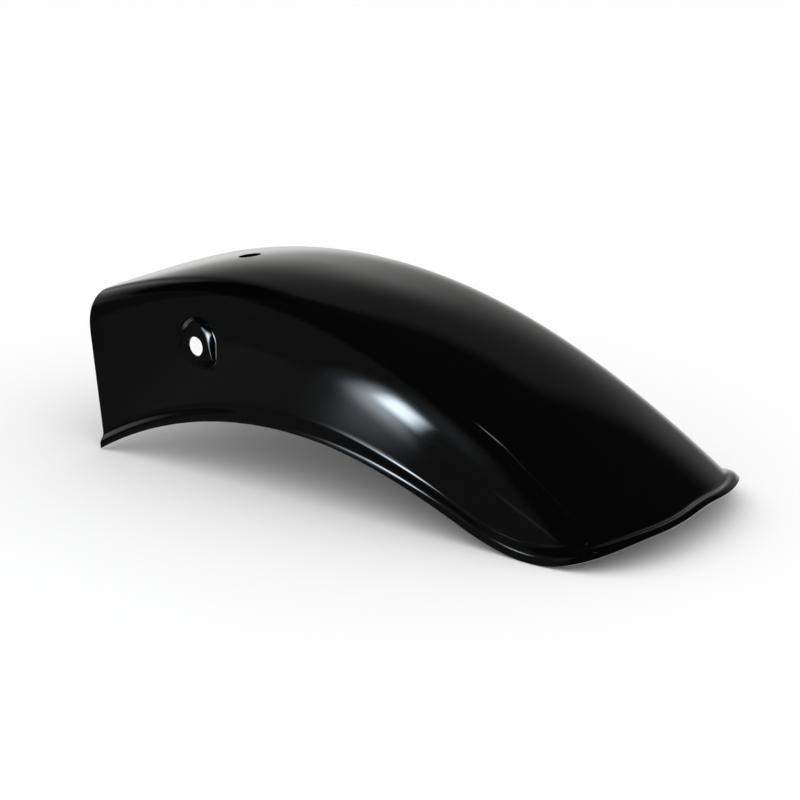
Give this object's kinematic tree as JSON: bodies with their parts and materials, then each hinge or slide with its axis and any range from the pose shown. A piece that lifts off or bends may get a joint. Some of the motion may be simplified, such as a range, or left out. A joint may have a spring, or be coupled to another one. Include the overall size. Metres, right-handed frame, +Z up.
{
  "type": "motorcycle rear fender",
  "caption": "Curved pressed-steel motorcycle rear fender with domed crown, deep side walls, a raised lip along the walls and round the tail, side bolt flats and a crown hole.",
  "frame": {"origin": "centre of the bounding box at its bottom, on the surface that the lips stand on", "axes": "+X from the nose to the tail, +Y to the left side, +Z up, as the fender stands on its lips"},
  "size_m": [0.302, 0.1404, 0.09],
  "materials": {
    "gloss_black_paint": "deep gloss black enamel with a clear coat"
  },
  "bodies": {
    "root": {"fender_shell": "gloss_black_paint"}
  },
  "joints": []
}
